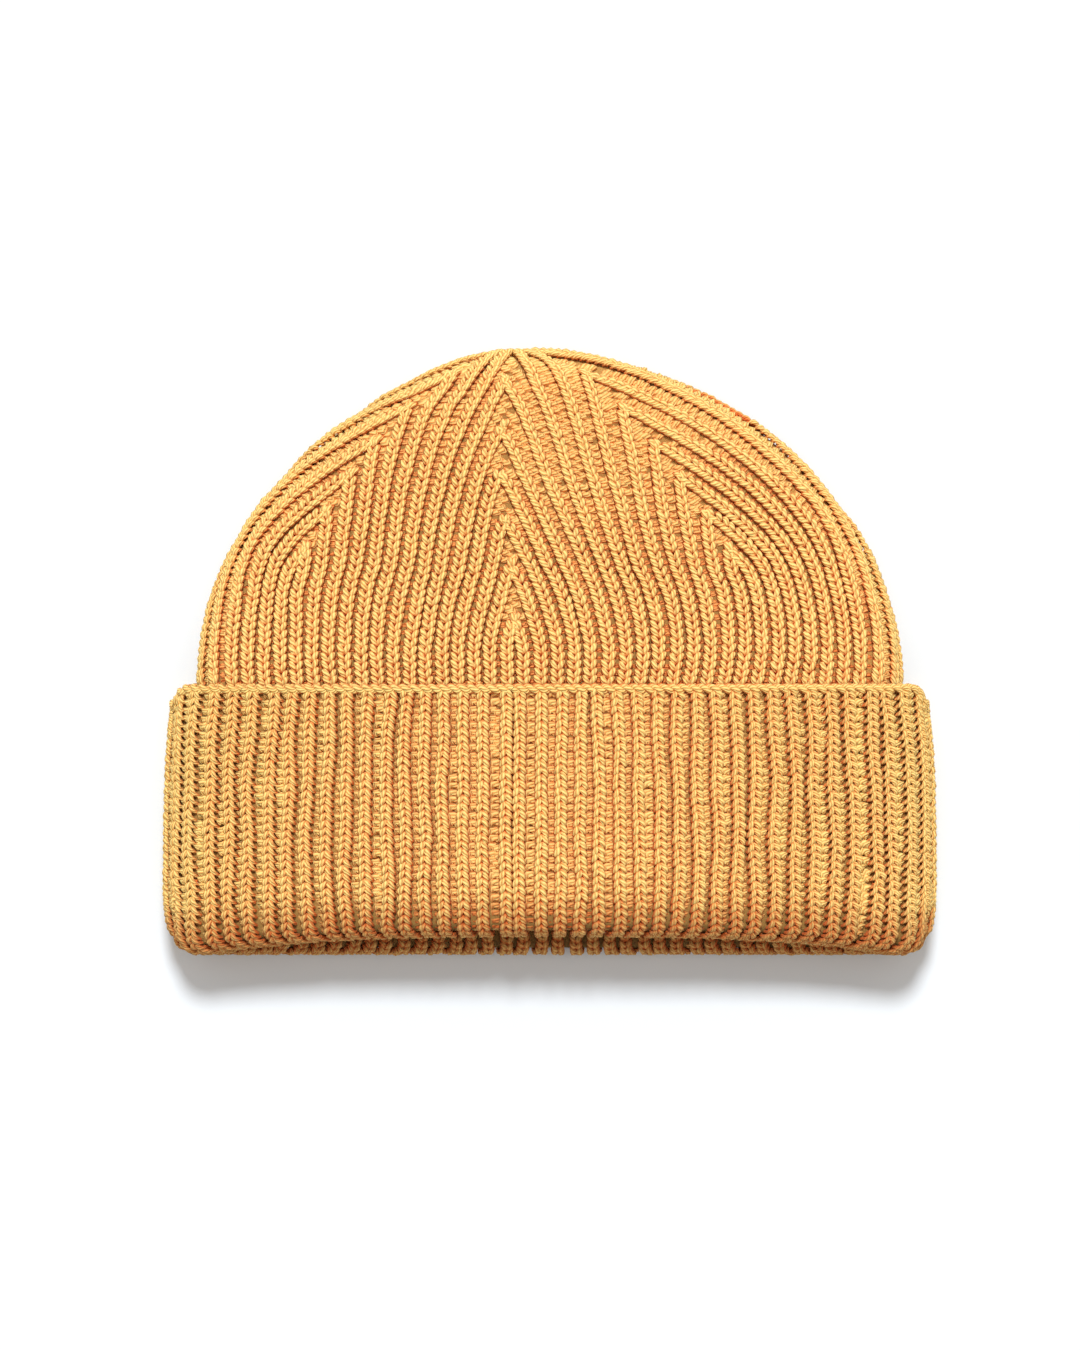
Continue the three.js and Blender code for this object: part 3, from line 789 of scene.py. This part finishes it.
# The cuff, from the cast-on edge down its face, round the fold and up inside.
cuff_rows = int(REACH / ROW)
cuff_shift = uneven(spread=0.045, wander=0.045, rows=cuff_rows)
cuff_shift[RIBS_PER_GORE - 2 : RIBS_PER_GORE + 2] *= SEAM_EVEN
cuff_shift[RIBS_PER_GORE - 1] += SEAM_CLOSE
cuff_shift[RIBS_PER_GORE] -= SEAM_CLOSE
cuff_step = rng.normal(0, STEP_SPREAD, ALL_RIBS)
cuff_rise = rng.normal(0, RISE_SPREAD, ALL_RIBS)


def cuff_gore(store, gore):
    """The knit columns of a sixth of the cuff, and the gutters before them."""
    rib, row = [a.ravel() for a in np.meshgrid(np.arange(RIBS_PER_GORE), np.arange(cuff_rows))]
    whole = gore * RIBS_PER_GORE + rib
    centre = rib + 0.5 + cuff_shift[whole, row]
    path = CUFF_START + (row + cuff_step[whole]) * ROW
    knit_rows(store, cuff_wale, gore, centre, path, cuff_reach)
    path = CUFF_START + (row + 0.5) * ROW
    low = rib - 0.5 + cuff_shift[whole - 1, row]
    half = column_half(pitch_at(cuff_wale, gore, (low + centre) / 2, path), cuff_reach)
    x = cuff_wale(gore, rib, path, 0.0)[0][:, 0]
    rise = cuff_rise[whole] + SIDE_PURL * smooth(np.abs(x), SIDE_FROM, SIDE_FULL)
    keep = centre - low > TOUCHING
    place = (low + half)[keep], (centre - half)[keep], path[keep]
    purl_rows(store, cuff_wale, gore, *place, CUFF_PURL, CUFF_SHADES, rise[keep])


for gore in range(GORES):
    stitches = new_store()
    cuff_gore(stitches, gore)
    build(f"cuff_stitches_{gore + 1}", stitches, "cuff", cuff_wool)
    build(f"cuff_backing_{gore + 1}", backing(cuff_wale, gore, 0, REACH), "cuff", shaded_back_wool)

# The cast-on edge: two strands twisted along the cuff's top, once round at each rib.
STRAND = 0.84  # radius
TWIST_ALONG, TWIST_OUT = 0.72, 0.5  # how far they turn from the middle between them
EDGE_MIDDLE, EDGE_DEPTH = EDGE_HEIGHT * 0.42, -1.1  # where that middle is
EDGE_STEPS = 16  # to a rib
edge = new_store()
for gore in range(GORES):
    for strand in (0, 1):
        u = np.linspace(0, RIBS_PER_GORE, RIBS_PER_GORE * EDGE_STEPS + 1)[None, :]
        turn = u * 2 * math.pi + strand * math.pi
        path = EDGE_MIDDLE + TWIST_ALONG * np.sin(turn)
        depth = EDGE_DEPTH + TWIST_OUT * np.cos(turn)
        strands = tubes(cuff_wale, gore, u, path, depth, np.full(u.shape, STRAND))
        add_tubes(edge, *strands, rng.random(1))
build("cast_on_edge_yarn", edge, "cast_on_edge", edge_wool)

# The floor, a little bluish against the warm light.
bpy.ops.mesh.primitive_plane_add(size=6)
floor = bpy.context.object
floor.name = "floor"
floor_mat = bpy.data.materials.new("floor")
floor_mat.use_nodes = True
paint = floor_mat.node_tree.nodes["Principled BSDF"].inputs
paint["Base Color"].default_value = (0.78, 0.84, 0.90, 1)
paint["Roughness"].default_value = 0.9
paint["Specular IOR Level"].default_value = 0.1
floor.data.materials.append(floor_mat)

# Light: a soft key from beyond the crown, and an even surround.
world = bpy.data.worlds.new("surround")
world.use_nodes = True
surround = world.node_tree.nodes["Background"].inputs
surround["Color"].default_value = (1, 0.93, 0.86, 1)
surround["Strength"].default_value = 0.62
bpy.context.scene.world = world
sun = bpy.data.lights.new("key", "SUN")
sun.energy = 2.75
sun.angle = math.radians(14)
key = bpy.data.objects.new("key", sun)
key.rotation_euler = (math.radians(-34), 0, 0)
bpy.context.scene.collection.objects.link(key)

# The camera looks straight down. A pixel of the photo's frame is 0.29 mm at the
# hat's upper face, and the hat lies a little above and right of its centre.
DISTANCE, UPPER_FACE, PIXEL = 1.6, 0.025, 0.00029  # metres
FRAME_CENTRE = (-0.0028, -0.0064)
FRAME_PIXELS = 1350  # its longer side
SENSOR = 36
cam = bpy.data.cameras.new("camera")
cam.sensor_width = SENSOR
cam.lens = SENSOR * DISTANCE / (FRAME_PIXELS * PIXEL)
camera = bpy.data.objects.new("camera", cam)
camera.location = (*FRAME_CENTRE, UPPER_FACE + DISTANCE)
bpy.context.scene.collection.objects.link(camera)
bpy.context.scene.camera = camera
bpy.context.scene.view_settings.view_transform = "Standard"
